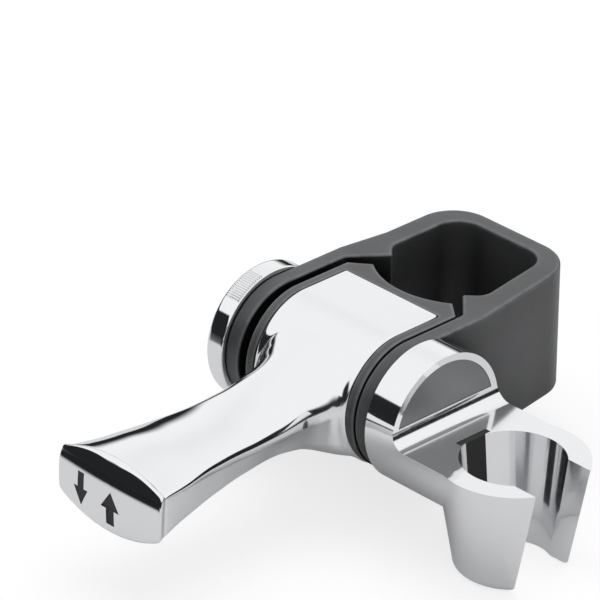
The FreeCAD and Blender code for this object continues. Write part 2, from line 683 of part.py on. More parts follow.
def make_cradle():
    body = on_pivot(new_body("handset_cradle"))
    zero = "0 * @hub_radius"
    clear = "(@hub_radius + 1)"
    sketch = new_sketch(body, "XZ_Plane")
    outline(sketch, [
        (HUB_IN, f"-{clear}"), ("@socket_reach", f"-{clear}"), ("@socket_reach", zero),
        (f"{HUB_OUT} + @hub_blend", zero), (HUB_OUT, "@hub_blend"), (HUB_OUT, clear), (HUB_IN, clear),
    ], {3: ("@hub_blend", -1)})
    pad(body, "hub_and_arm", sketch, f"2 * {clear}", "Symmetric")
    sketch = new_sketch(body, "YZ_Plane")
    circle(sketch, zero, zero, "@hub_radius")
    circle(sketch, zero, zero, "2 * @hub_radius")
    cut_through(body, "round", sketch)
    sketch = new_sketch(body, "XZ_Plane")
    sketch.setExpression("AttachmentOffset.Base.x", expr("@socket_reach"))
    top = "(@socket_top_radius + @socket_wall_top)"
    low = "(@socket_bottom_radius + @socket_wall_bottom)"
    outline(sketch, [(zero, zero), (zero, "-@socket_depth"), (f"{low} - @socket_foot_round", "-@socket_depth"),
                     (low, "-(@socket_depth - @socket_foot_round)"), (top, zero)],
            {2: ("@socket_foot_round", 1)})
    feature(body, "Revolution", "socket_wall", sketch, ReferenceAxis=(sketch, ["V_Axis"]), Angle=360)
    sketch = new_sketch(body, "XZ_Plane")
    sketch.setExpression("AttachmentOffset.Base.x", expr("@socket_reach"))
    outline(sketch, [(zero, f"{zero} + 1"), ("@socket_top_radius", f"{zero} + 1"), ("@socket_top_radius", zero),
                     ("@socket_bottom_radius", "-@socket_depth"), ("@socket_bottom_radius", "-(@socket_depth + 1)"),
                     (zero, "-(@socket_depth + 1)")])
    feature(body, "Groove", "socket", sketch, ReferenceAxis=(sketch, ["V_Axis"]), Angle=360)
    sketch = new_sketch(body, "XY_Plane")
    far = "(@socket_reach + @socket_top_radius + @socket_wall_top + 5)"
    outline(sketch, [("@socket_reach", "-@mouth_half_width"), (far, "-@mouth_half_width"),
                     (far, "@mouth_half_width"), ("@socket_reach", "@mouth_half_width")])
    cut_through(body, "mouth", sketch)
    sketch = new_sketch(body, "YZ_Plane", f"{HUB_OUT} - @hub_face_depth")
    hub_face(sketch, zero)
    cut(body, "face_recess", sketch, back=True)
    sketch = new_sketch(body, "YZ_Plane", HUB_IN)
    circle(sketch, zero, zero, "@washer_radius + @washer_fit")
    cut(body, "washer_seat", sketch, "@washer_wall", back=True)
    sketch = new_sketch(body, "YZ_Plane", HUB_IN)
    circle(sketch, zero, zero, "@insert_radius + @insert_fit")
    cut(body, "insert_seat", sketch, "@washer_wall + @insert_length + @insert_fit", back=True)
    sketch = new_sketch(body, "XZ_Plane")
    sketch.setExpression("AttachmentOffset.Base.x", expr("@socket_reach"))
    pad_profile(sketch, "@pad_fit")
    cut(body, "pad_seat", sketch, "@pad_width + 2 * @pad_fit", "Symmetric")
    return body


def make_hub_face_inlay():
    body = on_pivot(new_body("hub_face_inlay"))
    sketch = new_sketch(body, "YZ_Plane", f"{HUB_OUT} - @hub_face_depth + @hub_face_fit")
    hub_face(sketch, "@hub_face_fit")
    pad(body, "plate", sketch, "@hub_face_depth - 0.15")
    return body


def make_socket_pad():
    body = on_pivot(new_body("socket_pad"))
    sketch = new_sketch(body, "XZ_Plane")
    sketch.setExpression("AttachmentOffset.Base.x", expr("@socket_reach"))
    pad_profile(sketch, "0 * @pad_fit")
    pad(body, "pad", sketch, "@pad_width", "Symmetric")
    return body


parts = [
    make_strap(),
    make_jaw(),
    make_lever(),
    make_cap(),
    make_arrow("down_arrow"),
    make_arrow("up_arrow"),
    make_bush("left_keyed_bush", "-", LEFT_IN),
    make_bush("right_keyed_bush", "", RIGHT_IN),
    make_bolt(),
    make_knob(),
    make_ring("knob_washer", f"-({HEAD_IN} - @washer_fit)", "@washer_wall",
              "@washer_radius", "@bolt_radius + @bush_fit"),
    make_ring("spring_plate", f"-({JAW_OUT} + @washer_fit + @spring_plate_wall)", "@spring_plate_wall",
              "@washer_radius", "@spigot_radius + @bush_fit"),
    make_wave_spring(),
    make_ring("hub_washer", f"{RIGHT_OUT} + @washer_fit", "@washer_wall",
              "@washer_radius", "@bolt_radius + @bush_fit"),
    make_ring("threaded_insert", f"{HUB_IN} + @washer_wall + @insert_fit", "@insert_length - @insert_fit",
              "@insert_radius", "@bolt_radius + @bush_fit"),
    make_cradle(),
    make_hub_face_inlay(),
    make_socket_pad(),
]
doc.recompute()

for item in doc.Objects:
    faults = {"Invalid", "Error"} & set(item.State)
    if faults:
        raise RuntimeError(f"{item.Label}: {sorted(faults)}")
for piece in parts:
    shape = piece.Shape
    if shape.isNull() or not shape.isValid() or not shape.Solids:
        raise RuntimeError(f"{piece.Label}: no valid solid")

os.makedirs("parts", exist_ok=True)
for piece in parts:
    piece.Shape.exportStep(f"parts/{piece.Label}.step")
    print(piece.Label, len(piece.Shape.Solids), round(piece.Shape.Volume, 1))
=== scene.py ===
"""Looks of the shower rail slider: polished chrome lever, knob and cradle on a black clamp strap."""
import json
import math

import bmesh
import bpy
import numpy as np
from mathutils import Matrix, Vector


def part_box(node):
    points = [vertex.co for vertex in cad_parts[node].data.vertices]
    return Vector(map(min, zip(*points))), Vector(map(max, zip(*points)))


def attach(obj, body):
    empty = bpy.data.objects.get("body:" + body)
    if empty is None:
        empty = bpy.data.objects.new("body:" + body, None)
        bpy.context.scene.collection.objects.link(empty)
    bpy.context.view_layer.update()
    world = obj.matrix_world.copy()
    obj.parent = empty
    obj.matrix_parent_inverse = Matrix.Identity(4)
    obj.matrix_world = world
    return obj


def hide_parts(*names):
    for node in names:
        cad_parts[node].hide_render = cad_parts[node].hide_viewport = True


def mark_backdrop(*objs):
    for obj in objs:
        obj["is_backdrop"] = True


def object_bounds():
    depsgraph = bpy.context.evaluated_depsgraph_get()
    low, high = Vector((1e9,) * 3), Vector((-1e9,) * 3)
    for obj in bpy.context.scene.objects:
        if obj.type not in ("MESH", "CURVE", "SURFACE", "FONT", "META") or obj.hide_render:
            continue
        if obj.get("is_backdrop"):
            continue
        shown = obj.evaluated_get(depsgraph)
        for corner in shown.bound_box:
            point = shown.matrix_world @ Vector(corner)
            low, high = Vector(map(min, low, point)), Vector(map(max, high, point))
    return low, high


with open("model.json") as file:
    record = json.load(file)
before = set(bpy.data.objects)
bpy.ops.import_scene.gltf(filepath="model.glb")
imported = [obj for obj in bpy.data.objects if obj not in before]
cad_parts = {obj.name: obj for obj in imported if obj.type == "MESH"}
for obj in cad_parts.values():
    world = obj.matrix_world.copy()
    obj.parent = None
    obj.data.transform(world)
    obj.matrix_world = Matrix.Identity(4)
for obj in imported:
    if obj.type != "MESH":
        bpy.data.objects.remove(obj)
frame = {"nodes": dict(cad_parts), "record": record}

bl_info = {
    "name": "Shower rail slider",
    "version": (1, 0, 0),
    "blender": (4, 5, 0),
    "location": "View3D > Sidebar > Slider",
    "description": "Builds the looks of a shower rail slider on its packed model",
    "category": "Object",
}

MM = 0.001
PIVOT = Vector(next(j["pos_m"] for j in frame["record"]["behaviour"]["joints"] if j["name"] == "lever_turn"))
KNOB_LOW, KNOB_HIGH = (Vector(corner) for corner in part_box("tension_knob"))
LEVER_LOW = Vector(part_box("lever_handle")[0])
CAP_LOW = Vector(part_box("lever_end_cap")[0])
ARROWS = ("down_arrow_inlay", "up_arrow_inlay")

# The neck from the cap's seam to its root in the barrel, in millimetres and degrees: reach from the pivot,
# half width, crown, tilt and radius of the shoulder, then half width, depth, tilt and radius of the foot.
NECK = np.array((
    (71.2, 15.9, 5.6, 23, 1.0, 15.5, 11.9, 26, 1.5),
    (62.0, 14.1, 5.7, 29, 2.0, 13.1, 11.2, 28, 2.5),
    (52.0, 12.3, 5.1, 22, 3.5, 11.4, 9.9, 28, 3.0),
    (42.0, 11.4, 4.7, 16, 4.5, 10.6, 8.7, 28, 3.5),
    (33.0, 11.2, 5.5, 13, 6.0, 10.6, 8.0, 28, 4.0),
    (24.0, 11.1, 7.9, 13, 8.0, 10.7, 9.2, 28, 4.0),
    (18.5, 12.4, 10.1, 14, 9.8, 11.9, 11.1, 25, 4.0),
    (15.8, 13.9, 11.2, 14, 9.2, 13.3, 12.3, 22, 3.5),
    (13.4, 15.0, 12.1, 12, 7.8, 14.7, 13.3, 20, 3.0),
    (9.5, 15.05, 13.5, 8, 4.5, 15.0, 14.4, 17, 2.0),
    (6.0, 15.05, 14.8, 5, 2.5, 15.05, 15.1, 14, 2.0),
    (2.0, 15.05, 15.6, 4, 1.5, 15.05, 15.4, 12, 2.0),
))[::-1]

# How far the lever's rows of points lie past the barrel's flat and past its round front, in millimetres,
# closest together where the form turns fastest.
FLAT_ROWS = (0.0001, 0.03, 0.1, 0.22, 0.35, 0.45, 1.5, 3.5, 5.5, 7.5, 8.5, 9.2, 9.8, 10.4, 11.5)
ROOT_ROWS = (0.0, 0.03, 0.08, 0.15, 0.25, 0.38, 0.53, 0.7, 0.9, 1.15, 1.45, 1.8, 2.2, 2.7, 3.4)

# A journal's outline past the barrel's end, in millimetres: place along the pivot's axis, and radius.
JOURNAL = ((17.4, 9.0), (17.7, 8.7), (17.7, 6.05), (12.0, 6.05))


def length(name, description, default, soft_max=0.1):
    return bpy.props.FloatProperty(name=name, description=description, default=default, min=0.0,
                                   soft_max=soft_max, unit="LENGTH", subtype="DISTANCE", precision=5)


def colour(name, description, default):
    return bpy.props.FloatVectorProperty(name=name, description=description, default=default, size=3,
                                         min=0.0, max=1.0, subtype="COLOR")


def factor(name, description, default, high=1.0):
    return bpy.props.FloatProperty(name=name, description=description, default=default, min=0.0, max=high)


class SliderFinish(bpy.types.PropertyGroup):
    """Colours and gloss of the slider's finishes."""
    chrome: colour("Chrome", "Colour that the chrome plating reflects", (0.86, 0.865, 0.875))
    chrome_haze: factor("Chrome haze", "Roughness of clean plating", 0.045)
    plastic: colour("Plastic", "Colour of the strap and the jaw", (0.064, 0.066, 0.069))
    plastic_gloss: factor("Plastic roughness", "Roughness of the moulded plastic", 0.40)
    face: colour("Hub face", "Colour of the satin plate on the hub", (0.22, 0.225, 0.23))
    rubber: colour("Rubber", "Colour of the socket's pad", (0.012, 0.012, 0.012))
    arrows: colour("Arrows", "Colour of the two arrows", (0.010, 0.010, 0.010))


class SliderLever(bpy.types.PropertyGroup):
    """Sizes of the lever and its end cap."""
    barrel_length: length("Barrel length", "Length of the barrel between the jaw's ears", 30.2 * MM)
    barrel_radius: length("Barrel radius", "Radius of the barrel", 16.4 * MM)
    nose_reach: length("Nose reach", "Pivot axis to the flat that presses the jaw", 13.0 * MM)
    relief_radius: length("Relief radius", "Radius of the relieved back of the barrel", 12.3 * MM)
    barrel_edge: length("Barrel edges", "Rounding of the barrel's edges", 0.8 * MM)
    root_blend: length("Root blend", "Rounding where the neck leaves the barrel", 3.0 * MM)
    cap_flare: length("Cap flare", "How far the cap's face stands out over its seam", 1.8 * MM)
    cap_drop: length("Cap drop", "How far the cap's face hangs below its seam", 0.2 * MM)
    cap_rim: length("Cap rim", "Rounding of the cap's rim at the sides and below", 0.7 * MM)
    cap_brow: length("Cap brow", "Rounding of the cap's rim along the top", 1.5 * MM)
    seam_round: length("Seam", "Rounding on both sides of the cap's seam", 0.14 * MM)


class SliderEdges(bpy.types.PropertyGroup):
    """Rounding of the moulded and cast edges."""
    strap: length("Strap edges", "Rounding of the strap's edges", 1.1 * MM)
    jaw: length("Jaw edges", "Rounding of the jaw's edges", 0.6 * MM)
    cradle: length("Cradle edges", "Rounding of the cradle's edges", 0.55 * MM)


class SliderKnob(bpy.types.PropertyGroup):
    """Sizes of the knob and its grooves."""
    edge_round: length("Rim radius", "Rounding of the knob's rim", 1.1 * MM)
    groove_depth: length("Groove depth", "Depth of the grip grooves", 0.42 * MM)
    groove_pitch: bpy.props.FloatProperty(name="Groove pitch", description="Angle from groove to groove",
                                          default=math.radians(2.15), subtype="ANGLE")
    groove_first: bpy.props.FloatProperty(name="First groove", description="Angle above the front",
                                          default=math.radians(48.5), subtype="ANGLE")
    groove_count: bpy.props.IntProperty(name="Grooves", description="Grooves in each grip patch", default=14)
    groove_length: length("Groove length", "Length of a groove along the axis", 4.1 * MM)


class SliderStage(bpy.types.PropertyGroup):
    """Floor, light and camera."""
    floor: colour("Floor", "Colour of the floor", (0.72, 0.72, 0.725))
    floor_shade: colour("Floor shade", "How strongly the floor shows the slider's shadow", (0.30, 0.30, 0.30))
    floor_lift: factor("Floor lift", "Brightness that the camera sees on the floor besides the light", 0.74)
    floor_glow: factor("Floor glow", "Brightness that the metal sees on the floor besides the light", 0.06)
    top_light: factor("Top light", "Power of the overhead lamp in watts", 5.0, 100.0)
    fill: factor("Fill", "Strength of the room's diffuse light", 0.55, 4.0)
    tent_radius: length("Tent radius", "Radius of the tent that shows in the metal", 0.5, 5.0)
    band: colour("Horizon band", "Colour of the tent's dark band", (0.018, 0.019, 0.021))
    camera_place: bpy.props.FloatVectorProperty(name="Camera", description="Place of the camera", size=3,
                                                default=(0.76051, -0.77973, 0.59509), unit="LENGTH")
    camera_turn: bpy.props.FloatVectorProperty(name="Camera turn", description="Turn of the camera", size=3,
                                               subtype="EULER", default=tuple(math.radians(a) for a in
                                                                              (61.5645, -0.5813, 46.4507)))
    lens: bpy.props.FloatProperty(name="Lens", description="Focal length in millimetres", default=320.04)


class NodeTree:
    """Short ways to add and join nodes."""

    def __init__(self, tree):
        self.tree = tree

    def join(self, value, socket):
        self.tree.links.new(value, socket)

    def add(self, kind, inputs=None, **settings):
        made = self.tree.nodes.new(kind)
        for key, value in settings.items():
            setattr(made, key, value)
        for key, value in (inputs or {}).items():
            if isinstance(value, bpy.types.NodeSocket):
                self.join(value, made.inputs[key])
            else:
                made.inputs[key].default_value = value
        return made

    def math(self, operation, *values):
        return self.add("ShaderNodeMath", dict(enumerate(values)), operation=operation).outputs[0]

    def mix(self, share, first, second):
        made = self.add("ShaderNodeMix", {"Factor": share}, data_type="RGBA")
        ends = [s for s in made.inputs if s.type == "RGBA"]
        for socket, value in zip(ends, (first, second)):
            if isinstance(value, bpy.types.NodeSocket):
                self.join(value, socket)
            else:
                socket.default_value = (*value, 1.0)[:4]
        return next(s for s in made.outputs if s.type == "RGBA")

    def ramp(self, value, low, high, to_low=0.0, to_high=1.0, **settings):
        made = self.add("ShaderNodeMapRange", {"Value": value, "From Min": low, "From Max": high,
                                               "To Min": to_low, "To Max": to_high}, **settings)
        return made.outputs["Result"]

    def soft_ramp(self, value, low, high):
        return self.ramp(value, low, high, interpolation_type="SMOOTHSTEP")

    def place(self):
        return self.add("ShaderNodeTexCoord").outputs["Object"]

    def noise(self, place, scale, detail, roughness=0.5):
        return self.add("ShaderNodeTexNoise", {"Vector": place, "Scale": scale, "Detail": detail,
                                               "Roughness": roughness}).outputs["Fac"]

    def length(self, x, y):
        return self.math("SQRT", self.math("ADD", self.math("MULTIPLY", x, x), self.math("MULTIPLY", y, y)))

    def way_from(self, middle):
        """Heading, level distance and height of a place, seen from a middle point."""
        away = self.add("ShaderNodeVectorMath", {0: self.place(), 1: middle}, operation="SUBTRACT")
        parts = self.add("ShaderNodeSeparateXYZ", {0: away.outputs[0]})
        x, y, z = (parts.outputs[axis] for axis in "XYZ")
        return self.math("ARCTAN2", y, x), self.length(x, y), z

    def varied(self, start, pattern):
        """A group's Roughness, varied by its Variation with a pattern about 0.5."""
        change = self.math("MULTIPLY", self.math("SUBTRACT", pattern, 0.5), start.outputs["Variation"])
        return self.math("ADD", start.outputs["Roughness"], change)

    def rays(self):
        """Masks of the camera's own rays, and of those that come by way of metal or glass."""
        path = self.add("ShaderNodeLightPath")
        mirrored = self.math("MAXIMUM", path.outputs["Is Glossy Ray"], path.outputs["Is Transmission Ray"])
        return path.outputs["Is Camera Ray"], mirrored


def shader_group(name, inputs, outputs):
    """A shader node group with named sockets; returns it with its input and output nodes."""
    group = bpy.data.node_groups.new(name, "ShaderNodeTree")
    for label, default in inputs.items():
        kind = "NodeSocketVector" if isinstance(default, tuple) else "NodeSocketFloat"
        socket = group.interface.new_socket(label, in_out="INPUT", socket_type=kind)
        socket.default_value = default
    for label in outputs:
        group.interface.new_socket(label, in_out="OUTPUT", socket_type="NodeSocketFloat")
    tree = NodeTree(group)
    return group, tree, tree.add("NodeGroupInput"), tree.add("NodeGroupOutput")


def make_haze_group():
    """Roughness that drifts over a polished surface: wiping marks, fine scratches and water haze."""
    group, tree, start, end = shader_group(
        "polish_haze", {"Roughness": 0.05, "Drift": 0.02, "Scratches": 0.02}, ("Roughness", "Height"))
    place = tree.place()
    cloud = tree.ramp(tree.noise(place, 55.0, 4.0, 0.6), 0.35, 0.75)
    turned = tree.add("ShaderNodeMapping", {"Vector": place, "Rotation": (0.4, 0.7, 0.5),
                                            "Scale": (40, 900, 900)})
    lines = tree.ramp(tree.noise(turned.outputs[0], 1.0, 2.0), 0.60, 0.78)
    drift = tree.math("MULTIPLY", cloud, start.outputs["Drift"])
    marks = tree.math("MULTIPLY", lines, start.outputs["Scratches"])
    rough = tree.math("ADD", tree.math("ADD", start.outputs["Roughness"], drift), marks)
    tree.join(rough, end.inputs["Roughness"])
    tree.join(tree.noise(place, 130.0, 1.0), end.inputs["Height"])
    return group


def make_grain_group():
    """Fine moulded grain with a slow change of gloss, for plastic and rubber."""
    group, tree, start, end = shader_group(
        "moulded_grain", {"Scale": 2600.0, "Roughness": 0.45, "Variation": 0.08},
        ("Roughness", "Height", "Shade"))
    place = tree.place()
    grain = tree.noise(place, start.outputs["Scale"], 3.0)
    cells = tree.add("ShaderNodeTexVoronoi", {"Vector": place, "Scale": start.outputs["Scale"]})
    slow = tree.noise(place, 70.0, 3.0)
    height = tree.math("ADD", grain, tree.math("MULTIPLY", cells.outputs["Distance"], 0.5))
    tree.join(tree.varied(start, slow), end.inputs["Roughness"])
    tree.join(height, end.inputs["Height"])
    tree.join(slow, end.inputs["Shade"])
    return group


def make_edge_highlight_group():
    """Mask of a painted highlight along rounded edges, broken up by noise."""
    group, tree, start, end = shader_group("painted_edge_highlight", {"Width": 0.0004, "Amount": 0.5}, ("Mask",))
    round_normal = tree.add("ShaderNodeBevel", {"Radius": start.outputs["Width"]}, samples=4).outputs[0]
    normal = tree.add("ShaderNodeNewGeometry").outputs["Normal"]
    alike = tree.add("ShaderNodeVectorMath", {0: round_normal, 1: normal}, operation="DOT_PRODUCT")
    edge = tree.ramp(alike.outputs["Value"], 0.995, 0.85)
    broken = tree.math("MULTIPLY", edge, tree.ramp(tree.noise(tree.place(), 420.0, 4.0), 0.20, 0.55))
    tree.join(tree.math("MULTIPLY", broken, start.outputs["Amount"]), end.inputs["Mask"])
    return group


def make_cavity_group():
    """Mask of open places, from 0 deep inside a recess to 1 in the open."""
    group, tree, start, end = shader_group("cavity", {"Distance": 0.02}, ("Mask",))
    near = tree.add("ShaderNodeAmbientOcclusion", {"Distance": start.outputs["Distance"]}, samples=6)
    tree.join(tree.ramp(near.outputs["AO"], 0.55, 0.92), end.inputs["Mask"])
    return group


def make_brush_group():
    """Lines of a brushed or turned metal along one axis."""
    group, tree, start, end = shader_group(
        "brushed_lines", {"Stretch": (30.0, 2500.0, 2500.0), "Roughness": 0.3, "Variation": 0.2},
        ("Roughness", "Height"))
    stretched = tree.add("ShaderNodeVectorMath", {0: tree.place(), 1: start.outputs["Stretch"]},
                         operation="MULTIPLY")
    lines = tree.noise(stretched.outputs[0], 1.0, 3.0)
    tree.join(tree.varied(start, lines), end.inputs["Roughness"])
    tree.join(lines, end.inputs["Height"])
    return group


def new_material(name):
    """A material with its tree of nodes and its shader."""
    material = bpy.data.materials.new(name)
    material.use_nodes = True
    return material, NodeTree(material.node_tree), material.node_tree.nodes["Principled BSDF"]


def shades(base, *levels):
    """A colour at several levels of brightness."""
    return [[part * level for part in base] for level in levels]


class Finishes:
    """The slider's materials, each made once."""

    def __init__(self, settings):
        self.settings = settings
        self.haze = make_haze_group()
        self.grain = make_grain_group()
        self.edge = make_edge_highlight_group()
        self.brush = make_brush_group()
        self.cavity = make_cavity_group()
        self.made = {}

    def group(self, tree, group, inputs):
        made = tree.add("ShaderNodeGroup", node_tree=group)
        for key, value in inputs.items():
            made.inputs[key].default_value = value
        return made

    def bump(self, tree, shader, height, strength, distance):
        bump = tree.add("ShaderNodeBump", {"Height": height, "Strength": strength, "Distance": distance})
        tree.join(bump.outputs["Normal"], shader.inputs["Normal"])

    def grained(self, name, scale, roughness, variation, strength, distance):
        """A material with moulded grain; returns it with its tree, its shader and the grain."""
        material, tree, shader = new_material(name)
        grain = self.group(tree, self.grain, {"Scale": scale, "Roughness": roughness, "Variation": variation})
        tree.join(grain.outputs["Roughness"], shader.inputs["Roughness"])
        self.bump(tree, shader, grain.outputs["Height"], strength, distance)
        return material, tree, shader, grain

    def get(self, name):
        if name not in self.made:
            self.made[name] = getattr(self, name)()
        return self.made[name]

    def polished_chrome(self):
        material, tree, shader = new_material("polished_chrome")
        shader.inputs["Base Color"].default_value = (*self.settings.chrome, 1)
        shader.inputs["Metallic"].default_value = 1.0
        haze = self.group(tree, self.haze, {"Roughness": self.settings.chrome_haze, "Drift": 0.03,
                                            "Scratches": 0.02})
        cavity = self.group(tree, self.cavity, {"Distance": 0.016})
        dull = tree.ramp(cavity.outputs["Mask"], 0.0, 1.0, 0.16, 0.0)
        tree.join(tree.math("ADD", haze.outputs["Roughness"], dull), shader.inputs["Roughness"])
        self.bump(tree, shader, haze.outputs["Height"], 0.12, 0.00002)
        return material

    def black_plastic(self):
        material, tree, shader, grain = self.grained(
            "black_plastic", 3200.0, self.settings.plastic_gloss, 0.10, 0.25, 0.00004)
        # Painted highlight: along its rounded edges the plastic is painted 3.4 times lighter.
        edge_highlight = self.group(tree, self.edge, {"Width": 0.0018, "Amount": 0.9})
        # Painted shade: an occlusion mask paints the plastic near black deep in recesses, at 0.08 of its
        # colour.
        cavity = self.group(tree, self.cavity, {"Distance": 0.025})
        recess, dark, pale, highlight_colour = shades(self.settings.plastic, 0.08, 0.85, 1.2, 3.4)
        shade = tree.mix(tree.ramp(grain.outputs["Shade"], 0.35, 0.7), dark, pale)
        highlighted = tree.mix(edge_highlight.outputs["Mask"], shade, highlight_colour)
        tree.join(tree.mix(cavity.outputs["Mask"], recess, highlighted), shader.inputs["Base Color"])
        # Painted shade on the gloss: the specular level drops deep in recesses.
        gleam = tree.ramp(cavity.outputs["Mask"], 0.0, 1.0, 0.12, 0.55)
        tree.join(gleam, shader.inputs["Specular IOR Level"])
        return material

    def black_rubber(self):
        material, _, shader, _ = self.grained("black_rubber", 1800.0, 0.62, 0.12, 0.3, 0.00005)
        shader.inputs["Base Color"].default_value = (*self.settings.rubber, 1)
        return material

    def arrow_black(self):
        material, _, shader, _ = self.grained("arrow_black", 4000.0, 0.5, 0.1, 0.2, 0.00003)
        shader.inputs["Base Color"].default_value = (*self.settings.arrows, 1)
        return material

    def satin_grey(self):
        material, tree, shader, grain = self.grained("satin_grey", 5200.0, 0.36, 0.1, 0.2, 0.00003)
        shade = tree.mix(tree.ramp(grain.outputs["Shade"], 0.3, 0.7), *shades(self.settings.face, 0.93, 1.07))
        tree.join(shade, shader.inputs["Base Color"])
        shader.inputs["Metallic"].default_value = 0.85
        return material

    def white_acetal(self):
        material, tree, shader, grain = self.grained("white_acetal", 1500.0, 0.42, 0.1, 0.15, 0.00003)
        shade = tree.mix(tree.ramp(grain.outputs["Shade"], 0.3, 0.7), (0.74, 0.74, 0.71), (0.80, 0.80, 0.77))
        tree.join(shade, shader.inputs["Base Color"])
        shader.inputs["Subsurface Weight"].default_value = 0.08
        shader.inputs["Subsurface Scale"].default_value = 0.001
        return material

    def metal(self, name, base, roughness):
        """A metal turned round the pivot's axis."""
        material, tree, shader = new_material(name)
        shader.inputs["Base Color"].default_value = (*base, 1)
        shader.inputs["Metallic"].default_value = 1.0
        brush = self.group(tree, self.brush, {"Stretch": (2500.0, 60.0, 60.0), "Roughness": roughness,
                                              "Variation": 0.22})
        tree.join(brush.outputs["Roughness"], shader.inputs["Roughness"])
        self.bump(tree, shader, brush.outputs["Height"], 0.25, 0.00003)
        return material

    def bolt_steel(self):
        return self.metal("bolt_steel", (0.56, 0.57, 0.58), 0.28)

    def insert_brass(self):
        return self.metal("insert_brass", (0.75, 0.56, 0.26), 0.25)


FINISHES = []


def finish_of(name):
    if not FINISHES:
        FINISHES.append(Finishes(bpy.context.scene.slider_finish))
    return FINISHES[0].get(name)


def put(mesh, name):
    """Link a mesh as an object at the origin."""
    made = bpy.data.objects.new(name, mesh)
    bpy.context.scene.collection.objects.link(made)
    return made


def dress(made, material):
    """Give an object one finish."""
    made.data.materials.clear()
    made.data.materials.append(finish_of(material))


def settle(made, body, material, *nodes):
    """Give a piece its finish, its body and the nodes that it stands for."""
    dress(made, material)
    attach(made, body)
    if nodes:
        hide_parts(*nodes)


def surface_copy(node, name):
    """A merged copy of a node's mesh with its flat faces joined."""
    mesh = frame["nodes"][node].data.copy()
    mesh.name = name
    shape = bmesh.new()
    shape.from_mesh(mesh)
    bmesh.ops.remove_doubles(shape, verts=shape.verts, dist=0.000002)
    bmesh.ops.dissolve_limit(shape, angle_limit=math.radians(0.4), verts=shape.verts, edges=shape.edges,
                             delimit=set())
    shape.to_mesh(mesh)
    shape.free()
    while mesh.attributes.get("custom_normal"):
        mesh.attributes.remove(mesh.attributes["custom_normal"])
    mesh.polygons.foreach_set("use_smooth", [True] * len(mesh.polygons))
    return put(mesh, name)


def round_edges(made, width, segments=3, angle=32):
    bevel = made.modifiers.new("rounded_edges", "BEVEL")
    bevel.width = width
    bevel.segments = segments
    bevel.limit_method = "ANGLE"
    bevel.angle_limit = math.radians(angle)
    bevel.harden_normals = True
    bevel.miter_outer = "MITER_ARC"


def grid_mesh(name, rows, closed=True):
    """A mesh over closed rows of points, with its two ends filled where it is to be closed."""
    mesh = bpy.data.meshes.new(name)
    count = len(rows[0])
    points = [p for row in rows for p in row]
    faces = []
    for r in range(len(rows) - 1):
        for c in range(count):
            after = (c + 1) % count
            faces.append((r * count + c, r * count + after, (r + 1) * count + after, (r + 1) * count + c))
    if closed:
        faces.append(tuple(reversed(range(count))))
        faces.append(tuple(range((len(rows) - 1) * count, len(rows) * count)))
    mesh.from_pydata(points, [], faces)
    shape = bmesh.new()
    shape.from_mesh(mesh)
    bmesh.ops.recalc_face_normals(shape, faces=shape.faces)
    shape.to_mesh(mesh)
    shape.free()
    mesh.polygons.foreach_set("use_smooth", [True] * len(mesh.polygons))
    mesh.set_sharp_from_angle(angle=math.radians(40))
    return mesh


def eased(places, stations, values):
    """Values between stations, on a curve that doesn't overshoot them."""
    steps = np.diff(stations)
    slopes = np.diff(values) / steps
    tangents = np.concatenate(([slopes[0]], np.zeros(len(steps) - 1), [slopes[-1]]))
    for i in range(1, len(steps)):
        if slopes[i - 1] * slopes[i] > 0:
            before, after = 2 * steps[i] + steps[i - 1], steps[i] + 2 * steps[i - 1]
            tangents[i] = (before + after) / (before / slopes[i - 1] + after / slopes[i])
    i = np.clip(np.searchsorted(stations, places) - 1, 0, len(steps) - 1)
    t = np.clip((places - stations[i]) / steps[i], 0.0, 1.0)
    start = values[i] * (1 + 2 * t) * (1 - t) ** 2 + tangents[i] * steps[i] * t * (1 - t) ** 2
    return start + values[i + 1] * t * t * (3 - 2 * t) + tangents[i + 1] * steps[i] * t * t * (t - 1)


def neck_sizes(forward):
    """Sizes of the neck's sections at some reaches in millimetres, angles in radians."""
    sizes = [eased(forward, NECK[:, 0], NECK[:, i]) for i in range(1, 9)]
    for i in (2, 6):
        sizes[i] = np.radians(sizes[i])
    return sizes


def section_gap(x, z, sizes):
    """Distance of points from a neck section, below zero inside it."""
    half, crown, tilt, shoulder, foot, belly, foot_tilt, foot_round = sizes
    x = np.abs(x)
    ends = []
    arcs = []
    for up, wide_half, rise, lean, radius in ((z, half, crown, tilt, shoulder),
                                              (-z, foot, belly, foot_tilt, foot_round)):
        wide = radius + (wide_half - radius) / np.sin(lean)
        low = rise - wide
        corner_x = (wide - radius) * np.sin(lean)
        corner_z = low + (wide - radius) * np.cos(lean)
        arcs.append((np.arctan2(x, up - low) < lean, np.hypot(x, up - low) - wide,
                     up >= corner_z, np.hypot(x - corner_x, up - corner_z) - radius))
        ends.append(corner_z)
    run_x, run_z = half - foot, ends[0] + ends[1]
    side = ((x - half) * run_z - (z - ends[0]) * run_x) / np.hypot(run_x, run_z)
    upper, lower = (np.where(top, crowned, np.where(cheek, corner, side))
                    for top, crowned, cheek, corner in arcs)
    return np.maximum(upper, lower)


def rounded(first, second, radius):
    """Distance from the common part of two shapes, with the edge between them rounded."""
    first, second = first + radius, second + radius
    beside = np.hypot(np.maximum(first, 0), np.maximum(second, 0))
    return beside + np.minimum(np.maximum(first, second), 0) - radius


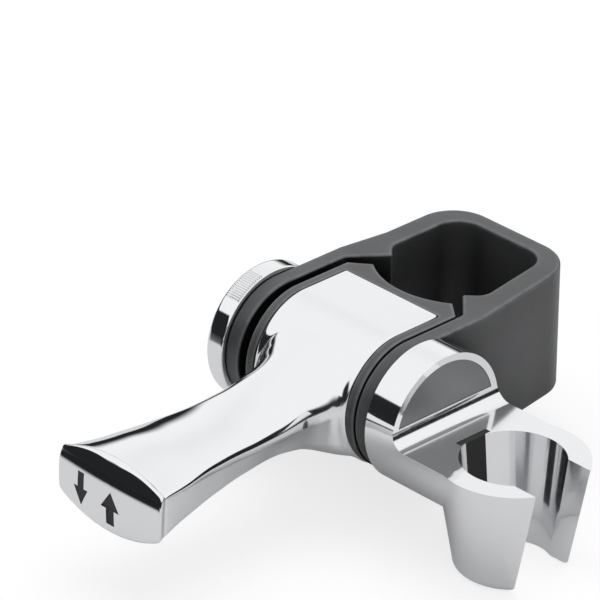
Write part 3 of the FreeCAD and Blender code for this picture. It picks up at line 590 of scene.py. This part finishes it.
def barrel_gap(x, z, forward, sizes):
    """Distance of points from the barrel: round in front, flat against the jaw, relieved below."""
    radius, nose = sizes.barrel_radius / MM, sizes.nose_reach / MM
    relief = sizes.relief_radius / MM
    flat_edge = 0.45
    # Degrees down from straight behind at which the nose ends, and the relief begins and ends.
    relief_turns = (0, 3, 8, 73, 78)
    reach = np.hypot(forward, z)
    turn = np.degrees(np.arctan2(-z, -forward))
    behind = reach - np.interp(turn, relief_turns, (nose, nose, relief, relief, radius))
    above = rounded(-forward - nose, z - radius, flat_edge)
    profile = np.where(forward >= 0, reach - radius, np.where(z >= 0, above, behind))
    return rounded(np.abs(x) - sizes.barrel_length / MM / 2, profile, sizes.barrel_edge / MM)


def lever_gap(x, z, forward, sizes):
    """Distance of points from the barrel and the neck, with a fillet where they meet at an angle."""
    step, least = 0.02, 1e-6
    moves = ((step, 0, 0), (0, step, 0), (0, 0, step))

    def neck_gap(x, z, forward):
        return section_gap(x, z, neck_sizes(forward))

    barrel = barrel_gap(x, z, forward, sizes)
    neck = neck_gap(x, z, forward)
    neck_slopes = [(neck_gap(x + dx, z + dz, forward + df) - neck) / step for dx, dz, df in moves]
    barrel_slopes = [(barrel_gap(x + dx, z + dz, forward + df, sizes) - barrel) / step
                     for dx, dz, df in moves]
    steep = np.sqrt(sum(slope ** 2 for slope in neck_slopes)) + least
    neck = neck / np.maximum(steep, 1.0)
    alike = sum(first * second for first, second in zip(neck_slopes, barrel_slopes)) / steep
    blend = sizes.root_blend / MM * np.clip(1.0 - alike, 0.0, 1.0) + least
    hollow = np.hypot(np.maximum(blend - barrel, 0), np.maximum(blend - neck, 0))
    fillet = np.maximum(blend, np.minimum(barrel, neck)) - hollow
    return np.where(forward > 1.0, fillet, barrel)


def surface_reach(gap, turns, rows):
    """How far out a surface lies from the middle line, in each direction of each row."""
    outermost, halvings = 30.0, 26
    low = np.zeros((rows, len(turns)))
    high = np.full((rows, len(turns)), outermost)
    for _ in range(halvings):
        middle = (low + high) / 2
        inside = gap(middle * np.cos(turns), middle * np.sin(turns)) < 0
        low = np.where(inside, middle, low)
        high = np.where(inside, high, middle)
    return (low + high) / 2


def lever_points(reach, turns, forward):
    """Rows of points in the frame from reaches in millimetres about the lever's middle line."""
    x = PIVOT.x + reach * np.cos(turns) * MM
    z = PIVOT.z + reach * np.sin(turns) * MM
    y = PIVOT.y - np.broadcast_to(forward, reach.shape) * MM
    return np.stack((x, y, z), axis=-1).tolist()


def seam_rows(reach, seam, tuck, shares):
    """Rows that round an edge at the cap's seam; tuck is below zero on the lever's side of it."""
    return [(reach - abs(tuck) * (1 - math.sqrt(1 - share * share)), seam + tuck * (1 - share))
            for share in shares]


def ring_rows(profile, turns):
    """Rows of points round the pivot's axis, for places along it and radii in metres."""
    return [[(x, PIVOT.y - r * math.cos(t), PIVOT.z + r * math.sin(t)) for t in turns] for x, r in profile]


def even_turns(count):
    return [2 * math.pi * i / count for i in range(count)]


class SLIDER_OT_lever(bpy.types.Operator):
    """Chrome lever: barrel and waisted neck in one smooth casting"""
    bl_idname = "slider.lever"
    bl_label = "Lever"

    def execute(self, context):
        sizes = context.scene.slider_lever
        seam = (PIVOT.y - LEVER_LOW.y) / MM
        forward, turns = self.rows(sizes, seam), self.turns()
        reach = surface_reach(lambda x, z: lever_gap(x, z, forward, sizes), turns, len(forward))
        points = lever_points(reach, turns, forward)
        edge = seam_rows(reach[-1], seam, -sizes.seam_round / MM, (0.35, 0.75, 1.0))
        points += [lever_points(r, turns, f) for r, f in edge]
        body = put(grid_mesh("lever_casting", points), "lever_casting")
        settle(body, "lever", "polished_chrome", "lever_handle")
        overlap = 0.5
        inside = sizes.barrel_length / MM / 2 - overlap
        for side, name in ((-1, "lever_journal_left"), (1, "lever_journal_right")):
            profile = [(PIVOT.x + side * x * MM, r * MM) for x, r in ((inside, JOURNAL[0][1]), *JOURNAL)]
            settle(put(grid_mesh(name, ring_rows(profile, even_turns(72))), name), "lever", "polished_chrome")
        return {"FINISHED"}

    def rows(self, sizes, seam):
        """How far forward of the pivot each row of points lies, in millimetres."""
        radius, nose = sizes.barrel_radius / MM, sizes.nose_reach / MM
        front_turn, front_count = 1.6, 56
        past_root, before_seam, neck_count = 4.2, 0.3, 57
        back = [-nose + past for past in FLAT_ROWS]
        front = [radius * math.sin(math.radians(front_turn * i)) for i in range(front_count)]
        root = [radius + past for past in ROOT_ROWS]
        neck = np.linspace(radius + past_root, seam - before_seam, neck_count).tolist()
        return np.array(back + front + root + neck)[:, None]

    def turns(self):
        """Directions of the points in a row, closest together at the sides of the lever."""
        fine, fine_count, coarse, coarse_count = 0.42, 124, 1.264, 30
        quarter = [fine * i for i in range(fine_count)]
        quarter += [fine * fine_count + coarse * i for i in range(coarse_count)]
        turns = np.radians(np.array(quarter + [180 - a for a in quarter[::-1]][:-1]))
        return np.unique(np.round(np.concatenate((turns, turns + np.pi)) % (2 * np.pi), 6))


def cap_face(x, z, front):
    """How far forward the cap's face lies: almost flat, and rolled back towards the top."""
    # Radii across and up the face, the height of its middle, and where and how tightly it rolls back.
    dome, tall, level, start, roll = 200.0, 60.0, -6.0, -1.0, 12.0
    lean = (start - level) / tall
    roll_y = dome - tall + (tall - roll) * math.sqrt(1 - lean * lean)
    roll_z = level + (tall - roll) * lean
    plain = dome - tall + np.sqrt(tall ** 2 - (z - level) ** 2)
    rolled = roll_y + np.sqrt(np.maximum(roll ** 2 - (z - roll_z) ** 2, 0.0))
    return front - dome + np.sqrt(np.where(z < start, plain, rolled) ** 2 - x ** 2)


class SLIDER_OT_lever_cap(bpy.types.Operator):
    """Chrome end cap of the lever and its two dark arrows"""
    bl_idname = "slider.lever_cap"
    bl_label = "Lever end cap"

    def execute(self, context):
        sizes = context.scene.slider_lever
        seam_gap, least_skirt, rim_share = 0.05, 0.25, 0.75
        seam = (PIVOT.y - LEVER_LOW.y) / MM + seam_gap
        front = (PIVOT.y - CAP_LOW.y) / MM
        turns = np.radians(np.arange(0, 360, 1.0))
        base = [value[0] for value in neck_sizes(np.array([NECK[-1, 0]]))]

        def outline(forward):
            share = np.clip((forward - seam) / (front - seam), 0, 1)
            flare, drop = share * sizes.cap_flare / MM, share * sizes.cap_drop / MM
            half, crown, tilt, shoulder, foot, belly, foot_tilt, foot_round = base
            grown = (half + flare, crown + flare, tilt, shoulder,
                     foot + flare, belly + drop, foot_tilt, foot_round)
            return surface_reach(lambda x, z: section_gap(x, z, grown), turns, 1)[0]

        def face_at(reach):
            return cap_face(reach * np.cos(turns), reach * np.sin(turns), front)

        rim = np.full(len(turns), front)
        for _ in range(30):
            rim = 0.5 * rim + 0.5 * np.clip(face_at(outline(rim)), seam + least_skirt, front)
        reach = outline(rim)
        brow = np.clip(np.sin(turns), 0, 1)
        inner = (sizes.cap_rim * (1 - brow) + sizes.cap_brow * brow) / MM
        skirt_end = rim - np.minimum(inner, rim_share * (rim - seam))
        tuck = sizes.seam_round / MM
        rows = seam_rows(outline(np.full(len(turns), seam)), seam, tuck, (1.0, 0.6, 0.2, 0.0))
        for share in (0.4, 0.8):
            place = seam + tuck + (skirt_end - seam - tuck) * share
            rows.append((outline(place), place))
        face_reach = reach - inner
        corners = ((outline(skirt_end), reach, face_reach), (skirt_end, rim, face_at(face_reach)))
        for t in (step / 10 for step in range(11)):
            weights = ((1 - t) ** 2, 1.6 * t * (1 - t), t * t)
            rows.append(tuple(sum(weight * value for weight, value in zip(weights, corner)) / sum(weights)
                              for corner in corners))
        for inward in (face_reach * (1 - 0.03 * i) for i in range(1, 33)):
            rows.append((inward, face_at(inward)))
        cap = put(grid_mesh("end_cap", [lever_points(r, turns, f) for r, f in rows]), "end_cap")
        self.sink_arrows(context, cap)
        settle(cap, "lever", "polished_chrome", "lever_end_cap")
        for node in ARROWS:
            dress(frame["nodes"][node], "arrow_black")
        return {"FINISHED"}

    def sink_arrows(self, context, cap):
        """Cut a recess round each arrow into the cap's face."""
        ahead, behind, beside = 4.0, 0.03 * MM, 0.05 * MM
        for node in ARROWS:
            tool = surface_copy(node, f"{node}_recess")
            low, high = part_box(node)
            middle = (Vector(low) + Vector(high)) / 2
            for vert in tool.data.vertices:
                away = vert.co - middle
                away.y = away.y * ahead if away.y < 0 else away.y + behind
                away.x += math.copysign(beside, away.x)
                away.z += math.copysign(beside, away.z)
                vert.co = middle + away
            cutter = cap.modifiers.new("recess", "BOOLEAN")
            cutter.operation = "DIFFERENCE"
            cutter.solver = "EXACT"
            cutter.object = tool
            context.view_layer.update()
            mesh = bpy.data.meshes.new_from_object(cap.evaluated_get(context.evaluated_depsgraph_get()))
            cap.modifiers.clear()
            cap.data = mesh
            bpy.data.objects.remove(tool)
        cap.data.name = "end_cap"
        cap.data.set_sharp_from_angle(angle=math.radians(40))


class SLIDER_OT_strap(bpy.types.Operator):
    """Black strap that closes round the rail"""
    bl_idname = "slider.strap"
    bl_label = "Strap"

    def execute(self, context):
        strap = surface_copy("rail_strap", "strap_moulding")
        round_edges(strap, context.scene.slider_edges.strap)
        settle(strap, "strap", "black_plastic", "rail_strap")
        return {"FINISHED"}


class SLIDER_OT_jaw(bpy.types.Operator):
    """Black jaw that presses the rail"""
    bl_idname = "slider.jaw"
    bl_label = "Jaw"

    def execute(self, context):
        jaw = surface_copy("saddle_jaw", "jaw_moulding")
        round_edges(jaw, context.scene.slider_edges.jaw)
        settle(jaw, "jaw", "black_plastic", "saddle_jaw")
        return {"FINISHED"}


def groove_tree(material):
    """Geometry nodes that press a row of fine grooves into a knob's rim, twice round."""
    tree = bpy.data.node_groups.new("grip_grooves", "GeometryNodeTree")
    nodes = NodeTree(tree)
    names = {}
    tree.interface.new_socket("Geometry", in_out="INPUT", socket_type="NodeSocketGeometry")
    for label, default in (("Depth", 0.0003), ("Pitch", 0.0375), ("First", 0.85), ("Count", 14.0),
                           ("Middle", 0.0), ("Length", 0.004), ("Axis Y", 0.0), ("Axis Z", 0.0)):
        socket = tree.interface.new_socket(label, in_out="INPUT", socket_type="NodeSocketFloat")
        socket.default_value = default
        names[label] = socket.identifier
    tree.interface.new_socket("Geometry", in_out="OUTPUT", socket_type="NodeSocketGeometry")
    start = nodes.add("NodeGroupInput")
    end = nodes.add("NodeGroupOutput")
    place = nodes.add("GeometryNodeInputPosition").outputs[0]
    parts = nodes.add("ShaderNodeSeparateXYZ", {0: place})
    across = nodes.math("SUBTRACT", start.outputs["Axis Y"], parts.outputs["Y"])
    up = nodes.math("SUBTRACT", parts.outputs["Z"], start.outputs["Axis Z"])
    folded = nodes.math("WRAP", nodes.math("ARCTAN2", up, across), math.pi, 0.0)
    past = nodes.math("SUBTRACT", folded, start.outputs["First"])
    offset = nodes.math("DIVIDE", past, start.outputs["Pitch"])
    nearest = nodes.math("ROUND", offset)
    last = nodes.math("SUBTRACT", start.outputs["Count"], 0.5)
    inside = nodes.math("MULTIPLY", nodes.math("GREATER_THAN", nearest, -0.5),
                        nodes.math("LESS_THAN", nearest, last))
    cut = nodes.ramp(nodes.math("ABSOLUTE", nodes.math("SUBTRACT", offset, nearest)), 0.12, 0.40, 1.0, 0.0)
    along = nodes.math("ABSOLUTE", nodes.math("SUBTRACT", parts.outputs["X"], start.outputs["Middle"]))
    ends = nodes.math("SUBTRACT", nodes.math("MULTIPLY", start.outputs["Length"], 0.5), along)
    fade = nodes.ramp(ends, 0.0, 0.0003)
    depth = nodes.math("MULTIPLY", nodes.math("MULTIPLY", cut, inside),
                       nodes.math("MULTIPLY", fade, start.outputs["Depth"]))
    away = nodes.add("ShaderNodeCombineXYZ", {"X": 0.0, "Y": across, "Z": nodes.math("MULTIPLY", up, -1.0)})
    inward = nodes.add("ShaderNodeVectorMath", {0: away.outputs[0]}, operation="NORMALIZE").outputs[0]
    shift = nodes.add("ShaderNodeVectorMath", {0: inward, "Scale": depth}, operation="SCALE").outputs[0]
    moved = nodes.add("GeometryNodeSetPosition", {"Geometry": start.outputs["Geometry"], "Offset": shift})
    whole = nodes.add("GeometryNodeRealizeInstances", {"Geometry": moved.outputs[0]})
    faced = nodes.add("GeometryNodeSetMaterial", {"Geometry": whole.outputs[0], "Material": material})
    nodes.join(faced.outputs[0], end.inputs[0])
    return tree, names


class SLIDER_OT_knob(bpy.types.Operator):
    """Chrome tension knob with two patches of grip grooves"""
    bl_idname = "slider.knob"
    bl_label = "Knob"

    def execute(self, context):
        sizes = context.scene.slider_knob
        outer, inner = KNOB_LOW.x, KNOB_HIGH.x
        middle = (outer + inner) / 2
        profile = self.profile(sizes, (KNOB_HIGH.z - KNOB_LOW.z) / 2, outer, middle, inner)
        blank = put(grid_mesh("knob_blank", ring_rows(profile, self.turns(sizes))), "knob_blank")
        tree, names = groove_tree(finish_of("polished_chrome"))
        press = blank.modifiers.new("grip_grooves", "NODES")
        press.node_group = tree
        groove_shift = 0.0002
        for label, value in (("Depth", sizes.groove_depth), ("Pitch", sizes.groove_pitch),
                             ("First", sizes.groove_first), ("Count", float(sizes.groove_count)),
                             ("Middle", middle + groove_shift), ("Length", sizes.groove_length),
                             ("Axis Y", PIVOT.y), ("Axis Z", PIVOT.z)):
            press[names[label]] = value
        context.view_layer.update()
        seen = blank.evaluated_get(context.evaluated_depsgraph_get())
        mesh = bpy.data.meshes.new_from_object(seen)
        mesh.name = "knob_disc"
        bpy.data.objects.remove(blank)
        knob = put(mesh, "knob_disc")
        knob.data.set_sharp_from_angle(angle=math.radians(50))
        settle(knob, "knob", "polished_chrome", "tension_knob")
        return {"FINISHED"}

    def profile(self, sizes, radius, outer, middle, inner):
        """Places along the axis and radii, from the outer face over the rim to the recess behind."""
        edge, reach, steps = sizes.edge_round, sizes.groove_length / 2, 14
        points = [(outer, radius * 0.2), (outer, radius * 0.6), (outer, radius - edge)]
        points += [(outer + edge * (1 - math.cos(a)), radius - edge * (1 - math.sin(a)))
                   for a in (math.pi / 2 * i / 8 for i in range(1, 9))]
        points += [(x, radius) for x in (middle - reach + 2 * reach * i / steps for i in range(steps + 1))
                   if x > outer + edge + 1e-5]
        lip, corner, recess, recess_radius, innermost = 0.0003, 0.00009, 0.0009, 0.0125, 0.006
        return points + [(inner - lip, radius), (inner - corner, radius - corner), (inner, radius - lip),
                         (inner, recess_radius), (inner - recess, recess_radius), (inner - recess, innermost)]

    def turns(self, sizes):
        """Directions of the points round the rim, closest together over the two patches of grooves."""
        fine, coarse = 150, 70
        turns = []
        span = sizes.groove_pitch * (sizes.groove_count + 1)
        for half in (0.0, math.pi):
            first = sizes.groove_first + half - sizes.groove_pitch
            turns += [first + span * i / fine for i in range(fine + 1)]
            turns += [first + span + (math.pi - span) * i / coarse for i in range(1, coarse)]
        return turns


class SLIDER_OT_cradle(bpy.types.Operator):
    """Chrome cradle with its hub, satin face and rubber pad"""
    bl_idname = "slider.cradle"
    bl_label = "Cradle"

    def execute(self, context):
        cradle = surface_copy("handset_cradle", "cradle_casting")
        round_edges(cradle, context.scene.slider_edges.cradle, 3, 34)
        settle(cradle, "cradle", "polished_chrome", "handset_cradle")
        face = surface_copy("hub_face_inlay", "hub_face")
        round_edges(face, 0.00012, 2, 40)
        settle(face, "cradle", "satin_grey", "hub_face_inlay")
        pad = surface_copy("socket_pad", "throat_pad")
        round_edges(pad, 0.0004, 3, 40)
        settle(pad, "cradle", "black_rubber", "socket_pad")
        return {"FINISHED"}


class SLIDER_OT_hardware(bpy.types.Operator):
    """Bolt, bushes, washers, springs and insert, in their own metals and plastics"""
    bl_idname = "slider.hardware"
    bl_label = "Hardware"
    def execute(self, context):
        own = {"white_acetal": ("left_keyed_bush", "right_keyed_bush", "knob_washer", "hub_washer"),
               "bolt_steel": ("pivot_bolt", "spring_plate", "wave_spring"),
               "insert_brass": ("threaded_insert",)}
        for material, nodes in own.items():
            for node in nodes:
                dress(frame["nodes"][node], material)
        return {"FINISHED"}


class SLIDER_OT_stage(bpy.types.Operator):
    """Pale floor, soft studio light and the camera"""
    bl_idname = "slider.stage"
    bl_label = "Stage"

    def execute(self, context):
        sizes = context.scene.slider_stage
        floor_gap = 0.0002
        low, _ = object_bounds()
        base = low.z - floor_gap
        floor = self.floor(base)
        floor.data.materials.append(self.floor_material(sizes))
        tent = self.tent(base, sizes.tent_radius)
        tent.data.materials.append(self.tent_material(sizes))
        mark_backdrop(floor, tent)
        self.light(context, sizes)
        self.light_world(context, sizes)
        self.camera(context, sizes)
        context.scene.view_settings.view_transform = "Standard"
        return {"FINISHED"}

    def floor(self, base):
        """A round sheet under the pivot."""
        floor_radius = 2.2
        disc = bmesh.new()
        bmesh.ops.create_circle(disc, cap_ends=True, segments=96, radius=floor_radius)
        for vert in disc.verts:
            vert.co += Vector((PIVOT.x, PIVOT.y, base))
        mesh = bpy.data.meshes.new("floor_sheet")
        disc.to_mesh(mesh)
        disc.free()
        return put(mesh, "floor_sheet")

    def tent(self, base, radius):
        """A half sphere over the floor that shows only in the metal."""
        rows, top = 32, 89.8
        tent_rows = []
        for i in range(rows + 1):
            rise = math.radians(min(90 * i / rows, top))
            tent_rows.append([(PIVOT.x + radius * math.cos(rise) * math.cos(turn),
                               PIVOT.y + radius * math.cos(rise) * math.sin(turn),
                               base + radius * math.sin(rise)) for turn in even_turns(96)])
        tent = put(grid_mesh("light_tent", tent_rows, closed=False), "light_tent")
        tent.visible_camera = False
        tent.visible_diffuse = False
        tent.visible_shadow = False
        return tent

    def light(self, context, sizes):
        """A soft lamp overhead that doesn't show in the metal."""
        place = Vector((-0.15, 0.15, 0.95))
        lamp = bpy.data.lights.new("top_softbox", "AREA")
        lamp.shape = "RECTANGLE"
        lamp.size, lamp.size_y = 1.1, 0.8
        lamp.energy = sizes.top_light
        top = bpy.data.objects.new("top_softbox", lamp)
        top.location = place
        top.rotation_euler = (place - PIVOT).to_track_quat("Z", "Y").to_euler()
        top.visible_glossy = False
        context.scene.collection.objects.link(top)

    def camera(self, context, sizes):
        camera = bpy.data.objects.new("camera", bpy.data.cameras.new("camera"))
        camera.data.sensor_width = 36.0
        camera.data.lens = sizes.lens
        camera.data.clip_start, camera.data.clip_end = 0.05, 20.0
        camera.location = sizes.camera_place
        camera.rotation_euler = sizes.camera_turn
        context.scene.collection.objects.link(camera)
        context.scene.camera = camera

    def floor_material(self, sizes):
        """A pale floor that the camera sees as white, with the slider's shadow on it."""
        material, tree, shader = new_material("floor_white")
        seen, mirrored = tree.rays()
        far = tree.math("MULTIPLY", mirrored, self.far_floor(tree))
        plain = tree.mix(seen, sizes.floor, sizes.floor_shade)
        tree.join(tree.mix(far, plain, sizes.band), shader.inputs["Base Color"])
        shader.inputs["Roughness"].default_value = 0.9
        shader.inputs["Specular IOR Level"].default_value = 0.0
        shader.inputs["Emission Color"].default_value = (1, 1, 1, 1)
        glow = tree.math("MULTIPLY", tree.math("SUBTRACT", mirrored, far), sizes.floor_glow)
        lift = tree.math("MULTIPLY_ADD", seen, sizes.floor_lift, glow)
        tree.join(lift, shader.inputs["Emission Strength"])
        return material

    def far_floor(self, tree):
        """Mask of the floor's far part in front on the knob's side, where the dark band begins."""
        near_reach, far_reach, middle = 0.135, 0.175, math.radians(-115.0)
        side_low, side_high = 0.88, 0.97
        heading, reach, _ = tree.way_from((PIVOT.x, PIVOT.y, 0.0))
        aside = tree.math("COSINE", tree.math("SUBTRACT", heading, middle))
        return tree.math("MULTIPLY", tree.soft_ramp(reach, near_reach, far_reach),
                         tree.soft_ramp(aside, side_low, side_high))

    def tent_material(self, sizes):
        """Pale cloth with a dark band round the horizon, higher in front on the knob's side."""
        # The band's upper edge in degrees: its mean, its rises once and twice in a turn, and its softness.
        front, mean, once_rise, twice_rise, soft_rise = math.radians(-130.0), 16.0, 3.0, 5.0, 2.6
        # A greyer patch of cloth: its height and reach in degrees, its turn from the front, width and depth.
        patch_height, patch_reach, patch_turn, patch_width = 42.0, 11.0, math.radians(258.0), 0.3
        patch_depth, cloth_level = 0.07, 1.01
        material, tree, shader = new_material("tent_cloth")
        tree.tree.nodes.remove(shader)
        heading, flat, height = tree.way_from(tuple(PIVOT))
        rise = tree.math("DEGREES", tree.math("ARCTAN2", height, flat))
        away = tree.math("SUBTRACT", heading, front)
        once = tree.math("COSINE", away)
        twice = tree.math("COSINE", tree.math("MULTIPLY", away, 2.0))
        top = tree.math("MULTIPLY_ADD", once, once_rise, tree.math("MULTIPLY_ADD", twice, twice_rise, mean))
        soft = tree.math("MULTIPLY_ADD", tree.math("SUBTRACT", 1.0, twice), soft_rise, 1.0)
        pale = tree.soft_ramp(tree.math("DIVIDE", tree.math("SUBTRACT", rise, top), soft), -1.0, 1.0)
        dip = tree.math("DIVIDE", tree.math("SUBTRACT", rise, patch_height), patch_reach)
        half_turn = tree.math("MULTIPLY", tree.math("SUBTRACT", away, patch_turn), 0.5)
        turned = tree.math("DIVIDE", tree.math("SINE", half_turn), patch_width)
        spread = tree.math("ADD", tree.math("MULTIPLY", dip, dip), tree.math("MULTIPLY", turned, turned))
        shade = tree.math("EXPONENT", tree.math("MULTIPLY", spread, -1.0))
        level = tree.math("MULTIPLY_ADD", shade, -patch_depth, cloth_level)
        cloth = tree.add("ShaderNodeCombineColor", {"Red": level, "Green": level, "Blue": level}).outputs[0]
        glow = tree.add("ShaderNodeEmission", {"Color": tree.mix(pale, sizes.band, cloth), "Strength": 1.0})
        tree.join(glow.outputs[0], material.node_tree.nodes["Material Output"].inputs["Surface"])
        return material

    def light_world(self, context, sizes):
        """Even light from all round, which camera, metal and glass see as plain white."""
        world = bpy.data.worlds.new("studio")
        context.scene.world = world
        world.use_nodes = True
        tree = NodeTree(world.node_tree)
        back = world.node_tree.nodes["Background"]
        back.inputs["Color"].default_value = (1, 1, 1, 1)
        strength = tree.ramp(tree.math("MAXIMUM", *tree.rays()), 0.0, 1.0, sizes.fill, 1.0)
        tree.join(strength, back.inputs["Strength"])


class SLIDER_PT_panel(bpy.types.Panel):
    """Sizes, colours and pieces of the slider"""
    bl_idname = "SLIDER_PT_panel"
    bl_label = "Shower rail slider"
    bl_space_type = "VIEW_3D"
    bl_region_type = "UI"
    bl_category = "Slider"

    def draw(self, context):
        layout = self.layout
        for settings in SETTINGS:
            group = getattr(context.scene, settings)
            box = layout.box()
            for name in group.__annotations__:
                box.prop(group, name)
        for piece in PIECES:
            layout.operator(piece.bl_idname)


PIECES = (SLIDER_OT_strap, SLIDER_OT_jaw, SLIDER_OT_lever, SLIDER_OT_lever_cap, SLIDER_OT_knob,
          SLIDER_OT_cradle, SLIDER_OT_hardware, SLIDER_OT_stage)
SETTINGS = {"slider_finish": SliderFinish, "slider_lever": SliderLever, "slider_edges": SliderEdges,
            "slider_knob": SliderKnob, "slider_stage": SliderStage}


def register():
    for name, group in SETTINGS.items():
        bpy.utils.register_class(group)
        setattr(bpy.types.Scene, name, bpy.props.PointerProperty(type=group))
    for piece in PIECES + (SLIDER_PT_panel,):
        bpy.utils.register_class(piece)


def unregister():
    for piece in (SLIDER_PT_panel,) + PIECES[::-1]:
        bpy.utils.unregister_class(piece)
    for name, group in SETTINGS.items():
        delattr(bpy.types.Scene, name)
        bpy.utils.unregister_class(group)


def main():
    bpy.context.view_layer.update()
    register()
    for piece in PIECES:
        group, name = piece.bl_idname.split(".")
        getattr(getattr(bpy.ops, group), name)()


if __name__ == "__main__":
    main()
